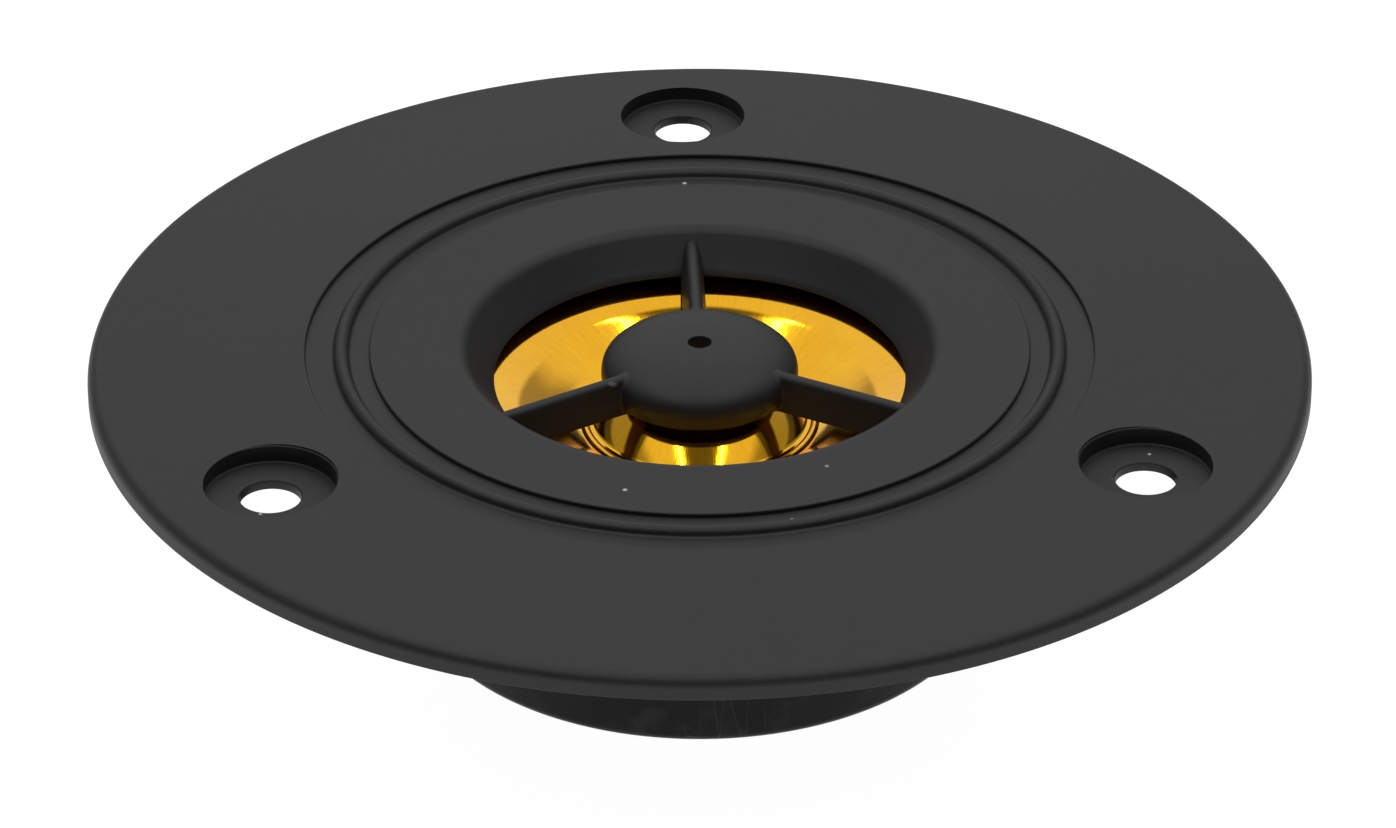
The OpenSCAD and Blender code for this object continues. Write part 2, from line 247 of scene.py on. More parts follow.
soften = spider.modifiers.new("soften", "SMOOTH")
soften.factor = 0.5
soften.iterations = 12
applied(spider)
combined(faceplate, [spider], "UNION")

# Counterbored screw holes, the vent in the plug and the blind pilot holes for the motor's screws.
hole_circle = 37.75 * MM
counterbore_floor = 0.75 * MM
counterbore_r = 5.0 * MM
counterbore_lip_z = 1.99 * MM
hole_r = 2.3 * MM
hole_ease = 0.15 * MM
pilot_circle = 19.3 * MM
pilot_r = 1.0 * MM
below = -1 * MM
above = 4 * MM
cutters = []
for angle in (90, 210, 330):
    screw_cut = turned("screw_cut", (
        [(0, below), (hole_r, below)]
        + arc((hole_r + hole_ease, counterbore_floor - hole_ease), hole_ease, 180, 90, 3)
        + [(counterbore_r - hole_ease, counterbore_floor)]
        + arc((counterbore_r - hole_ease, counterbore_floor + hole_ease), hole_ease, -90, 0, 4)
        + arc((counterbore_r + hole_ease, counterbore_lip_z), hole_ease, 180, 100, 6)
        + [(counterbore_r + hole_ease, above), (0, above)]), 192)
    cutters.append(moved(screw_cut, spun(angle, hole_circle)))
vent_mouth_r = vent_r + 0.05 * MM
cutters.append(turned("vent_cut", [
    (0, below), (vent_r, below), (vent_r, 2.33 * MM), (vent_mouth_r, 2.42 * MM),
    (vent_mouth_r, above), (0, above)], 64))
for angle in (30, 150, 270):
    pilot = turned("pilot_cut", [
        (0, -2 * MM), (pilot_r, -2 * MM), (pilot_r, 1.1 * MM), (0, 1.6 * MM)], 32)
    cutters.append(moved(pilot, spun(angle, pilot_circle)))
combined(faceplate, cutters, "DIFFERENCE")


class Socket:
    """A shader socket. Maths on it is written as an expression, and node() makes any other node."""

    def __init__(self, tree, out):
        self.tree = tree
        self.out = out

    def node(self, kind, settings=None, out=0, **sockets):
        made = self.tree.nodes.new(kind)
        for key, value in (settings or {}).items():
            if key == "stops":
                ramp = made.color_ramp
                while len(ramp.elements) < len(value):
                    ramp.elements.new(1.0)
                for element, (at, colour) in zip(ramp.elements, value):
                    element.position = at
                    element.color = colour
            else:
                setattr(made, key, value)
        for name, value in sockets.items():
            index = name[1:]
            socket = made.inputs[int(index) if index.isdigit() else name.replace("_", " ")]
            if isinstance(value, Socket):
                self.tree.links.new(value.out, socket)
            elif value is not None:
                socket.default_value = value
        return Socket(self.tree, made.outputs[out])

    def maths(self, operation, a, b=None, c=None):
        return self.node("ShaderNodeMath", {"operation": operation}, s0=a, s1=b, s2=c)

    def __add__(self, other):
        return self.maths("ADD", self, other)

    def __sub__(self, other):
        return self.maths("SUBTRACT", self, other)

    def __rsub__(self, other):
        return self.maths("SUBTRACT", other, self)

    def __mul__(self, other):
        return self.maths("MULTIPLY", self, other)

    def __truediv__(self, other):
        return self.maths("DIVIDE", self, other)

    def __pow__(self, other):
        return self.maths("POWER", self, other)

    __radd__ = __add__
    __rmul__ = __mul__

    def clamped(self):
        return self.node("ShaderNodeClamp", s0=self)

    def step(self, low, high):
        settings = {"interpolation_type": "SMOOTHSTEP"}
        return self.node("ShaderNodeMapRange", settings, s0=self, s1=low, s2=high)

    def mixed(self, low, high):
        return self.node("ShaderNodeMix", {"data_type": "RGBA"}, out=2, s0=self, s6=low, s7=high)

    def noise(self, scale, detail=2.0, roughness=0.5, out=0):
        return self.node("ShaderNodeTexNoise", out=out, Vector=self, Scale=scale, Detail=detail,
                         Roughness=roughness)

    def axis(self, index):
        return self.node("ShaderNodeSeparateXYZ", out=index, s0=self)

    def radius(self):
        x = self.axis(0)
        y = self.axis(1)
        return self.maths("SQRT", x * x + y * y)

    def angle(self):
        return self.maths("ARCTAN2", self.axis(1), self.axis(0))

    def vector(self, x, y, z):
        return self.node("ShaderNodeCombineXYZ", s0=x, s1=y, s2=z)

    def bump(self, strength, distance, height):
        return self.node("ShaderNodeBump", Strength=strength, Distance=distance, Height=height)


class Finish:
    """A Principled material in the making: fixed numbers go on its sockets, varying ones are linked."""

    def __init__(self, name, **fixed):
        self.material = bpy.data.materials.new(name)
        self.material.use_nodes = True
        self.tree = self.material.node_tree
        self.shader = self.tree.nodes["Principled BSDF"]
        self.at = Socket(self.tree, self.tree.nodes.new("ShaderNodeTexCoord").outputs["Object"])
        for key, value in fixed.items():
            self.shader.inputs[key.replace("_", " ")].default_value = value

    def link(self, **sockets):
        for key, value in sockets.items():
            self.tree.links.new(value.out, self.shader.inputs[key.replace("_", " ")])
        return self.material


nylon = Finish("grained_black_nylon", Specular_IOR_Level=0.4)
at = nylon.at
grain = at.noise(2600, 3.0, 0.6)
pits = at.noise(900, 2.0, 0.5)
cloud = at.noise(45, 4.0, 0.6)
rub = at.noise(260, 5.0, 0.7)
rim = at.radius().step(0.0452, 0.0468)
worn_end = (1 - at.angle().step(-3.2, -2.5)) * (1 - at.angle().step(0, 0.1))
worn_side = at.angle().step(2.6, 3.3) + worn_end
scuff = rim * rub.step(0.60, 0.72) * worn_side.clamped()
fleck_noise = at.node("ShaderNodeTexVoronoi", {"feature": "F1"}, Vector=at, Scale=330.0)
fleck_pick = at.node("ShaderNodeTexVoronoi", {"feature": "F1"}, out=1, Vector=at, Scale=330.0)
fleck = (1 - fleck_noise.step(0.035, 0.075)) * fleck_pick.axis(0).step(0.90, 0.905)
hair_at = at.vector(at.axis(0) * 0.35, at.axis(1), at.axis(2))
hair_noise = at.node("ShaderNodeTexVoronoi", {"feature": "F1"}, Vector=hair_at, Scale=240.0)
hair_pick = at.node("ShaderNodeTexVoronoi", {"feature": "F1"}, out=1, Vector=hair_at, Scale=240.0)
lint = (1 - hair_noise.step(0.03, 0.06)) * hair_pick.axis(1).step(0.93, 0.935)
shade = cloud * 0.35 + pits * 0.3 + grain * 0.35
base = shade.step(0.25, 0.75).mixed((0.009, 0.009, 0.010, 1), (0.015, 0.015, 0.0165, 1))
dusty = (scuff * 0.5 + lint * 0.3).clamped().mixed(base, (0.32, 0.32, 0.33, 1))
marked = fleck.mixed(dusty, (0.55, 0.55, 0.55, 1))
relief = grain * 0.7 + pits * 0.3
black_nylon = nylon.link(
    Base_Color=marked,
    Roughness=0.44 + cloud * 0.08 + grain * 0.08,
    Normal=at.bump(0.35, 0.00003, relief),
)
shaded(faceplate, black_nylon, 40)
weighted = faceplate.modifiers.new("normals", "WEIGHTED_NORMAL")
weighted.keep_sharp = True
weighted.mode = "FACE_AREA_WITH_ANGLE"
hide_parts("faceplate")
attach(faceplate, "driver")

# ---------------------------------------------------------------- diaphragm
# Cone and dome are pressed from thin film with a gold metal coating, and glued round the neck
# with one clear bead. They carry faint marks from the press and move with the voice coil.
cone_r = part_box("cone")[1].x
cone_run_z = -1.8 * MM
cone_run = throat_r + 0.05 * MM
cone_slopes = ((15.85 * MM, 16), (14.2 * MM, 17.5), (13.4 * MM, 25.8), (12.0 * MM, 24.8),
               (10.7 * MM, 26.3), (10.0 * MM, 22.3), (9.3 * MM, 15), (8.6 * MM, 15))
film = 0.15 * MM
former_outer_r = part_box("coil_former")[1].x
dome_edge_r = 8.3 * MM
dome_edge_z = -4.3 * MM
dome_sphere_r = 11.2 * MM
dome_centre_z = dome_edge_z - math.sqrt(dome_sphere_r ** 2 - dome_edge_r ** 2)


def cone_z(r):
    """Height of the cone's gold face at a radius, from its slopes in degrees at a few radii."""
    z = cone_run_z
    steps = 80
    step = (cone_run - r) / steps
    for i in range(steps):
        at_r = cone_run - (i + 0.5) * step
        for (r0, a0), (r1, a1) in zip(cone_slopes, cone_slopes[1:]):
            if at_r >= r1 or r1 == cone_slopes[-1][0]:
                slope = a0 + (a1 - a0) * min(1, max(0, (r0 - at_r) / (r0 - r1)))
                break
        z -= step * math.tan(math.radians(slope))
    return z


steps = 72
inner_r = former_outer_r + 0.02 * MM
radii = [inner_r + (cone_r - inner_r) * i / steps for i in range(steps + 1)]
gold_face = [(r, cone_z(r)) for r in radii]
rear_face = [(r, z - film) for r, z in reversed(gold_face)]
cone = turned("cone_film", gold_face + rear_face, 512)
edge_angle = math.degrees(math.acos(dome_edge_r / dome_sphere_r))
dome_profile = (
    [(former_outer_r, -4.4 * MM), (former_outer_r, dome_edge_z), (dome_edge_r + 0.12 * MM, dome_edge_z)]
    + arc((0, dome_centre_z), dome_sphere_r, edge_angle, 90, 40)
    + arc((0, dome_centre_z), dome_sphere_r - film, 90, edge_angle + 0.6, 40)
)
dome = turned("dome_film", [(max(r, 0.0), z) for r, z in dome_profile], 384)
glue_reach = 9.25 * MM
glue_lift = 0.01 * MM
bead_profile = (
    [(inner_r, cone_z(inner_r) + glue_lift), (glue_reach, cone_z(glue_reach) + glue_lift)]
    + arc((8.93 * MM, -4.45 * MM), 0.25 * MM, 20, 160, 10)
)
neck_bead = turned("neck_glue", bead_profile, 384)

gold = Finish("gold_film", Metallic=1.0, Coat_Weight=0.45, Coat_Roughness=0.05)
at = gold.at
turn = at.angle()
radius = at.radius()
press_lines = at.vector(turn * 9, radius * 60, at.axis(2) * 60).noise(8.0, 4.0, 0.6)
cloud = at.noise(160, 3.0, 0.5)
tint = (press_lines * 0.5 + cloud * 0.5).step(0.3, 0.7)
gold_film = gold.link(
    Base_Color=tint.mixed((0.90, 0.43, 0.002, 1), (1.0, 0.53, 0.006, 1)),
    Roughness=0.07 + tint * 0.05,
    Normal=at.bump(0.12, 0.00005, press_lines * 0.6 + cloud * 0.4),
)
for piece, node in ((cone, "cone"), (dome, "dome"), (neck_bead, "neck_bead")):
    shaded(piece, gold_film, 50)
    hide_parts(node)
    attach(piece, "diaphragm")

# ---------------------------------------------------------------- surround
# A narrow roll of doped black cloth. Its inner lip is glued under the cone's edge and its outer
# lip is clamped between the carrier ring and the faceplate.
under_z = cone_z(cone_r) - film - 0.02 * MM
lip_z = moulding_low_z
roll = [
    (15.7 * MM, cone_z(15.7 * MM) - film - 0.02 * MM), (cone_r, under_z),
    (16.7 * MM, under_z - 0.08 * MM), (16.88 * MM, under_z + 0.02 * MM),
    (16.98 * MM, lip_z - 0.45 * MM), (17.08 * MM, lip_z - 0.2 * MM),
    (17.3 * MM, lip_z), (18.15 * MM, lip_z)]
cloth_t = 0.18 * MM
surround = turned("surround_roll", roll + [(r, z - cloth_t) for r, z in reversed(roll)], 192)
cloth = Finish("doped_cloth_and_painted_shade", Roughness=0.85, Specular_IOR_Level=0.1)
at = cloth.at
weave = at.node("ShaderNodeTexWave", {"wave_type": "BANDS"}, Vector=at, Scale=1400.0)
warp = at.node("ShaderNodeTexWave", {"bands_direction": "Y"}, Vector=at, Scale=1400.0)
threads = weave * warp
# Its colour is darker than black cloth: the cloth's own black plus painted shade of the dark gap under
# the horn's throat.
doped_cloth_and_painted_shade = cloth.link(
    Base_Color=threads.mixed((0.003, 0.003, 0.003, 1), (0.009, 0.009, 0.009, 1)),
    Normal=at.bump(0.5, 0.00003, threads),
)
shaded(surround, doped_cloth_and_painted_shade, 60)
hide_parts("surround")
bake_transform(surround)

# ---------------------------------------------------------------- voice coil
# A former of thin amber film, glued into the neck, with two layers of round enamelled copper
# wire wound on its lower end, inside the magnetic gap.
wire_r = 0.09 * MM
coil_low, coil_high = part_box("coil_winding")
turns_per_layer = 10.0
steps_per_turn = 900


def nodes_group(name, inputs):
    """A Geometry Nodes group that starts from nothing but its named inputs."""
    group = bpy.data.node_groups.new(name, "GeometryNodeTree")
    group.interface.new_socket("Geometry", in_out="INPUT", socket_type="NodeSocketGeometry")
    for label, kind in inputs:
        group.interface.new_socket(label, in_out="INPUT", socket_type=kind)
    group.interface.new_socket("Geometry", in_out="OUTPUT", socket_type="NodeSocketGeometry")
    return group, group.nodes.new("NodeGroupInput"), group.nodes.new("NodeGroupOutput")


def swept(tree, curve, radius):
    """A round section of this radius carried along a curve, with closed ends."""
    section = tree.nodes.new("GeometryNodeCurvePrimitiveCircle")
    section.inputs["Resolution"].default_value = 8
    tree.links.new(radius, section.inputs["Radius"])
    sweep = tree.nodes.new("GeometryNodeCurveToMesh")
    sweep.inputs["Fill Caps"].default_value = True
    tree.links.new(curve, sweep.inputs["Curve"])
    tree.links.new(section.outputs["Curve"], sweep.inputs["Profile Curve"])
    return sweep.outputs["Mesh"]


def painted(tree, geometry, finish, result):
    """Ends a group: real geometry, with the finish that it was given."""
    realize = tree.nodes.new("GeometryNodeRealizeInstances")
    paint = tree.nodes.new("GeometryNodeSetMaterial")
    tree.links.new(geometry, realize.inputs["Geometry"])
    tree.links.new(realize.outputs["Geometry"], paint.inputs["Geometry"])
    tree.links.new(finish, paint.inputs["Material"])
    tree.links.new(paint.outputs["Geometry"], result.inputs["Geometry"])


def grown(name, group, values):
    """The plain mesh that a Geometry Nodes group makes with these input values."""
    made = bpy.data.objects.new(name, bpy.data.meshes.new(name))
    bpy.context.scene.collection.objects.link(made)
    modifier = made.modifiers.new("grow", "NODES")
    modifier.node_group = group
    for item in group.interface.items_tree:
        if item.item_type == "SOCKET" and item.in_out == "INPUT" and item.name in values:
            modifier[item.identifier] = values[item.name]
    return applied(made)


winding_tree, given, result = nodes_group("wind_coil", [
    ("Radius", "NodeSocketFloat"), ("Height", "NodeSocketFloat"), ("Turns", "NodeSocketFloat"),
    ("Wire", "NodeSocketFloat"), ("Steps", "NodeSocketInt"), ("Finish", "NodeSocketMaterial")])
link = winding_tree.links.new
helix = winding_tree.nodes.new("GeometryNodeCurveSpiral")
link(given.outputs["Steps"], helix.inputs["Resolution"])
link(given.outputs["Turns"], helix.inputs["Rotations"])
link(given.outputs["Radius"], helix.inputs["Start Radius"])
link(given.outputs["Radius"], helix.inputs["End Radius"])
link(given.outputs["Height"], helix.inputs["Height"])
wire = swept(winding_tree, helix.outputs["Curve"], given.outputs["Wire"])
painted(winding_tree, wire, given.outputs["Finish"], result)

enamel = Finish("enamelled_copper", Metallic=1.0, Coat_Weight=0.5, Coat_Roughness=0.15)
at = enamel.at
tone = at.noise(900, 3.0)
copper_wire = enamel.link(
    Base_Color=tone.mixed((0.62, 0.24, 0.10, 1), (0.80, 0.36, 0.18, 1)),
    Roughness=0.22 + tone * 0.15,
)
layers = []
for layer_r in (former_outer_r + wire_r, coil_high.x - wire_r):
    layer = grown("winding_layer", winding_tree, {
        "Radius": layer_r, "Height": coil_high.z - coil_low.z - 2 * wire_r,
        "Turns": turns_per_layer, "Wire": wire_r, "Steps": steps_per_turn, "Finish": copper_wire})
    layers.append(moved(layer, Matrix.Translation((0, 0, coil_low.z + wire_r))))
winding = merged("voice_coil_wire", layers)
shaded(winding, copper_wire, 60)
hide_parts("coil_winding")
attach(winding, "diaphragm")

amber = Finish("amber_film", Roughness=0.25, Transmission_Weight=0.3, Coat_Weight=0.4)
at = amber.at
seam = at.vector(at.angle() * 4, at.axis(2) * 200, 0.0).noise(6.0, 2.0)
amber_film = amber.link(
    Base_Color=seam.mixed((0.50, 0.20, 0.02, 1), (0.78, 0.40, 0.08, 1)),
    Normal=at.bump(0.2, 0.00004, seam),
)
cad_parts["coil_former"].data.materials.clear()
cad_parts["coil_former"].data.materials.append(amber_film)

# ---------------------------------------------------------------- braided leads
# Two tinsel leads, each three strands of copper foil on cotton laid up together. They bridge
# from the fixed lugs on the carrier ring to the moving former, under the cone.
braid_tree, given, result = nodes_group("lay_up_strands", [
    ("Length", "NodeSocketFloat"), ("Lay", "NodeSocketFloat"), ("Strand", "NodeSocketFloat"),
    ("Strands", "NodeSocketInt"), ("Turns", "NodeSocketFloat"), ("Finish", "NodeSocketMaterial")])
link = braid_tree.links.new
strand = braid_tree.nodes.new("GeometryNodeCurveSpiral")
strand.inputs["Resolution"].default_value = 60
link(given.outputs["Turns"], strand.inputs["Rotations"])
link(given.outputs["Lay"], strand.inputs["Start Radius"])
link(given.outputs["Lay"], strand.inputs["End Radius"])
link(given.outputs["Length"], strand.inputs["Height"])
sweep = swept(braid_tree, strand.outputs["Curve"], given.outputs["Strand"])
spread = braid_tree.nodes.new("GeometryNodeMeshLine")
spread.inputs["Offset"].default_value = (0, 0, 0)
link(given.outputs["Strands"], spread.inputs["Count"])
count_up = braid_tree.nodes.new("GeometryNodeInputIndex")
share = braid_tree.nodes.new("ShaderNodeMath")
share.operation = "DIVIDE"
share.inputs[0].default_value = 2 * math.pi
link(given.outputs["Strands"], share.inputs[1])
phase = braid_tree.nodes.new("ShaderNodeMath")
phase.operation = "MULTIPLY"
link(count_up.outputs["Index"], phase.inputs[0])
link(share.outputs[0], phase.inputs[1])
spin = braid_tree.nodes.new("ShaderNodeCombineXYZ")
link(phase.outputs[0], spin.inputs["Z"])
stamp = braid_tree.nodes.new("GeometryNodeInstanceOnPoints")
link(spread.outputs["Mesh"], stamp.inputs["Points"])
link(sweep, stamp.inputs["Instance"])
link(spin.outputs["Vector"], stamp.inputs["Rotation"])
painted(braid_tree, stamp.outputs["Instances"], given.outputs["Finish"], result)

foil = Finish("copper_foil", Metallic=1.0)
at = foil.at
tone = at.noise(1500, 2.0)
copper_foil = foil.link(
    Base_Color=tone.mixed((0.68, 0.30, 0.14, 1), (0.85, 0.48, 0.28, 1)),
    Roughness=0.3 + tone * 0.2,
)
lead_angle = 10.4
lead_inner = Vector((0, former_outer_r + 0.08 * MM, -5.15 * MM))
lead_outer = Vector((0, 17.7 * MM, -3.95 * MM))
lead_line = lead_outer - lead_inner
for name, side in (("tinsel_lead_left", 1), ("tinsel_lead_right", -1)):
    lead = grown(name, braid_tree, {
        "Length": lead_line.length, "Lay": 0.065 * MM, "Strand": 0.07 * MM, "Strands": 3, "Turns": 9.0,
        "Finish": copper_foil})
    lay_flat = lead_line.to_track_quat("Z", "Y").to_matrix().to_4x4()
    turn_to_lug = Matrix.Rotation(math.radians(side * lead_angle), 4, "Z")
    moved(lead, turn_to_lug @ Matrix.Translation(lead_inner) @ lay_flat)
    shaded(lead, copper_foil, 60)
    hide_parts("tinsel_leads")
    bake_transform(lead)

# ---------------------------------------------------------------- inside the motor
# Turned and pressed parts that the cup hides: zinc-plated pole plates and pole, a ground ferrite
# ring, a copper cap, felt pads, a nylon carrier ring, and the screws, lugs and wires.
zinc = Finish("zinc_plated_steel", Metallic=1.0)
at = zinc.at
lathe = at.vector(at.radius() * 4000, at.axis(2) * 900, at.angle() * 0.3).noise(1.0, 3.0)
cloud = at.noise(120, 3.0)
zinc_steel = zinc.link(
    Base_Color=cloud.mixed((0.50, 0.51, 0.53, 1), (0.66, 0.66, 0.66, 1)),
    Roughness=0.26 + lathe * 0.18,
    Normal=at.bump(0.15, 0.00004, lathe),
)
ferrite = Finish("ground_ferrite", Specular_IOR_Level=0.6)
at = ferrite.at
chips = at.noise(500, 6.0, 0.7)
ground_ferrite = ferrite.link(
    Base_Color=chips.mixed((0.020, 0.020, 0.022, 1), (0.060, 0.060, 0.064, 1)),
    Roughness=0.42 + chips * 0.25,
    Normal=at.bump(0.3, 0.00006, chips),
)
cap = Finish("bare_copper", Metallic=1.0)
at = cap.at
stain = at.noise(220, 4.0)
bare_copper = cap.link(
    Base_Color=stain.mixed((0.52, 0.20, 0.09, 1), (0.86, 0.42, 0.24, 1)),
    Roughness=0.2 + stain * 0.3,
)


def felt(name, sheen, dark, pale):
    """Pressed wool: matt, with short fibres that catch the light."""
    wool = Finish(name, Sheen_Weight=sheen, Specular_IOR_Level=0.2)
    fibres = wool.at.noise(2200, 5.0, 0.8)
    return wool.link(
        Base_Color=fibres.mixed(dark, pale),
        Roughness=0.85 + fibres * 0.1,
        Normal=wool.at.bump(0.8, 0.0001, fibres),
    )


wool_felt = felt("wool_felt", 0.5, (0.16, 0.15, 0.13, 1), (0.42, 0.40, 0.36, 1))
black_felt = felt("black_felt", 0.4, (0.012, 0.012, 0.013, 1), (0.050, 0.050, 0.052, 1))
oxide = Finish("black_oxide", Metallic=0.8)
at = oxide.at
wear = at.noise(700, 4.0)
black_oxide = oxide.link(
    Base_Color=wear.mixed((0.020, 0.020, 0.022, 1), (0.085, 0.085, 0.090, 1)),
    Roughness=0.35 + wear * 0.2,
)
brass = Finish("bright_brass", Metallic=1.0)
at = brass.at
tarnish = at.noise(300, 4.0)
bright_brass = brass.link(
    Base_Color=tarnish.mixed((0.62, 0.42, 0.14, 1), (0.88, 0.68, 0.32, 1)),
    Roughness=0.18 + tarnish * 0.2,
    Normal=at.bump(0.1, 0.00003, at.noise(1500, 3.0)),
)
insulation = Finish("red_insulation", Specular_IOR_Level=0.45)
at = insulation.at
dull = at.noise(800, 3.0)
red_insulation = insulation.link(
    Base_Color=dull.mixed((0.34, 0.012, 0.010, 1), (0.52, 0.025, 0.018, 1)),
    Roughness=0.38 + dull * 0.2,
)
for node, material in (
    ("carrier_ring", black_nylon), ("top_plate", zinc_steel), ("back_plate", zinc_steel),
    ("pole_piece", zinc_steel), ("magnet_ring", ground_ferrite), ("copper_cap", bare_copper),
    ("dome_felt", wool_felt), ("rear_felt", black_felt), ("motor_screws", black_oxide),
    ("lead_pads", bright_brass), ("lead_wires", red_insulation),
):
    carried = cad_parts[node].data
    carried.materials.clear()
    carried.materials.append(material)

# ---------------------------------------------------------------- rear cup
# A smooth black cup, moulded in one piece with the flat pad for its terminals. It is pushed over
# the motor, glued to the back of the faceplate, and smudged from handling.
cup_low, cup_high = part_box("rear_cup")
cup_r = cup_high.x
cup_wall = 1.0 * MM
cup_edge = 0.8 * MM
cup_profile = (
    [(0, cup_low.z), (cup_r - 2.6 * MM, cup_low.z), (cup_r - 2.4 * MM, cup_low.z)]
    + arc((cup_r - cup_edge, cup_low.z + cup_edge), cup_edge, -90, 0, 12)
    + between((cup_r, cup_low.z + cup_edge), (cup_r, -0.15 * MM), 6)
    + [(cup_r - 0.1 * MM, 0), (cup_r - cup_wall, 0)]
    + [(cup_r - cup_wall, cup_low.z + cup_wall), (0, cup_low.z + cup_wall)]
)
cup = turned("cup_moulding", cup_profile, 384)
pad_low, pad_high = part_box("terminal_board")
pad_margin = 0.4 * MM
pad_back_y = 20.8 * MM
pad_front_y = cup_high.y
pad_size = (pad_high.x - pad_low.x + 2 * pad_margin, pad_front_y - pad_back_y,
            pad_high.z - pad_low.z + 2 * pad_margin, 1)
pad_centre = (0, (pad_front_y + pad_back_y) / 2, (pad_high.z + pad_low.z) / 2)
bpy.ops.mesh.primitive_cube_add(size=1)
pad = bpy.context.object
pad.name = "pad"
moved(pad, Matrix.Translation(pad_centre) @ Matrix.Diagonal(pad_size))
round_pad = pad.modifiers.new("round", "BEVEL")
round_pad.width = 0.4 * MM
round_pad.segments = 4
applied(pad)
combined(cup, [pad], "UNION")
core_r = cup_r - cup_wall - 0.002 * MM
core_z = cup_low.z + cup_wall + 0.001 * MM
core = turned("core", [(0, core_z), (core_r, core_z), (core_r, 1 * MM), (0, 1 * MM)], 384)
rivet_x = 3.4 * MM
rivet_hole_r = 1.03 * MM
rivet_low, rivet_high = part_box("terminal_rivets")
rivet_z = (rivet_low.z + rivet_high.z) / 2
rivet_cuts = []
for x in (-rivet_x, rivet_x):
    rivet_cut = turned("rivet_cut", [
        (0, 18 * MM), (rivet_hole_r, 18 * MM), (rivet_hole_r, 26 * MM), (0, 26 * MM)], 48)
    lay_across = Matrix.Rotation(-math.pi / 2, 4, "X")
    rivet_cuts.append(moved(rivet_cut, Matrix.Translation((x, 0, rivet_z)) @ lay_across))
combined(cup, [core] + rivet_cuts, "DIFFERENCE")

satin = Finish("satin_black_cup", Specular_IOR_Level=0.12)
at = satin.at
smear = at.vector(at.angle() * 1.3, at.axis(2) * 60, at.radius() * 40).noise(5.0, 5.0, 0.65)
dust = at.noise(1800, 4.0, 0.7)
scratch_at = at.vector(at.angle() * 22, at.axis(2) * 120 + at.angle() * 2, 0.0)
cracks = {"feature": "DISTANCE_TO_EDGE"}
scratch = scratch_at.node("ShaderNodeTexVoronoi", cracks, Vector=scratch_at, Scale=0.7)
hairline = (1 - scratch.step(0.0, 0.006)) * at.noise(90, 2.0).step(0.58, 0.64)
smudge = smear.step(0.48, 0.75)
body = smudge.mixed((0.008, 0.007, 0.008, 1), (0.026, 0.025, 0.026, 1))
soil = (hairline * 0.35 + dust.step(0.68, 0.8) * 0.12).clamped()
cup_black = satin.link(
    Base_Color=soil.mixed(body, (0.25, 0.25, 0.25, 1)),
    Roughness=0.34 + smudge * 0.2,
    Normal=at.bump(0.06, 0.00003, dust),
)
shaded(cup, cup_black, 35)
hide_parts("rear_cup")
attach(cup, "driver")

# ---------------------------------------------------------------- terminals
# A brown laminate board on the cup's pad, with a wide brass positive blade and a narrow plated
# negative blade. One hollow brass rivet with a rolled head holds each blade to the board.
laminate = Finish("brown_laminate", Specular_IOR_Level=0.4)
at = laminate.at
mottle = at.noise(700, 5.0, 0.7)
brown_laminate = laminate.link(
    Base_Color=mottle.mixed((0.16, 0.075, 0.028, 1), (0.30, 0.16, 0.070, 1)),
    Roughness=0.4 + mottle * 0.2,
    Normal=at.bump(0.2, 0.00003, mottle),
)


def eased(node, name, width):
    """A copy of a CAD node with its sharp edges eased, as stamping or sawing leaves them."""
    piece = bpy.data.objects.new(name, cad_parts[node].data.copy())
    bpy.context.scene.collection.objects.link(piece)
    shape = bmesh.new()
    shape.from_mesh(piece.data)
    bmesh.ops.remove_doubles(shape, verts=shape.verts, dist=1e-6)
    bmesh.ops.dissolve_limit(shape, angle_limit=math.radians(2), verts=shape.verts, edges=shape.edges)
    shape.to_mesh(piece.data)
    shape.free()
    ease = piece.modifiers.new("ease", "BEVEL")
    ease.width = width
    ease.segments = 3
    ease.limit_method = "ANGLE"
    ease.angle_limit = math.radians(40)
    return applied(piece)


for node, name, width, material, slot in (
    ("terminal_board", "laminate_board", 0.08 * MM, brown_laminate, "phenolic"),
    ("positive_tab", "wide_blade", 0.1 * MM, bright_brass, "brass_plate"),
    ("negative_tab", "narrow_blade", 0.1 * MM, zinc_steel, "plated_steel"),
):
    piece = shaded(eased(node, name, width), material, 45)
    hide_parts(node)
    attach(piece, "driver")

head_y = rivet_high.y - 0.5 * MM
tail_y = rivet_low.y + 0.5 * MM
shank_r = 1.0 * MM
head_r = 1.6 * MM
bore_r = 0.55 * MM
rivet_profile = (
    [(bore_r, rivet_low.y + 0.2 * MM), (bore_r + 0.25 * MM, rivet_low.y)]
    + [(head_r - 0.2 * MM, rivet_low.y), (head_r, rivet_low.y + 0.25 * MM), (head_r, tail_y)]
    + [(shank_r, tail_y), (shank_r, head_y), (head_r, head_y)]
    + arc((head_r - 0.28 * MM, head_y + 0.2 * MM), 0.28 * MM, -20, 90, 6)
    + arc((bore_r + 0.3 * MM, head_y + 0.18 * MM), 0.3 * MM, 90, 180, 6)
)
rivet = turned("rivet_stock", rivet_profile, 64)
rivet_tree, given, result = nodes_group("set_rivets", [
    ("Rivet", "NodeSocketObject"), ("Spacing", "NodeSocketFloat"), ("Count", "NodeSocketInt"),
    ("Height", "NodeSocketFloat"), ("Finish", "NodeSocketMaterial")])
link = rivet_tree.links.new
source = rivet_tree.nodes.new("GeometryNodeObjectInfo")
link(given.outputs["Rivet"], source.inputs["Object"])
half = rivet_tree.nodes.new("ShaderNodeMath")
half.operation = "MULTIPLY"
half.inputs[1].default_value = -0.5
link(given.outputs["Spacing"], half.inputs[0])
first = rivet_tree.nodes.new("ShaderNodeCombineXYZ")
link(half.outputs[0], first.inputs["X"])
link(given.outputs["Height"], first.inputs["Z"])
apart = rivet_tree.nodes.new("ShaderNodeCombineXYZ")
link(given.outputs["Spacing"], apart.inputs["X"])
row = rivet_tree.nodes.new("GeometryNodeMeshLine")
link(given.outputs["Count"], row.inputs["Count"])
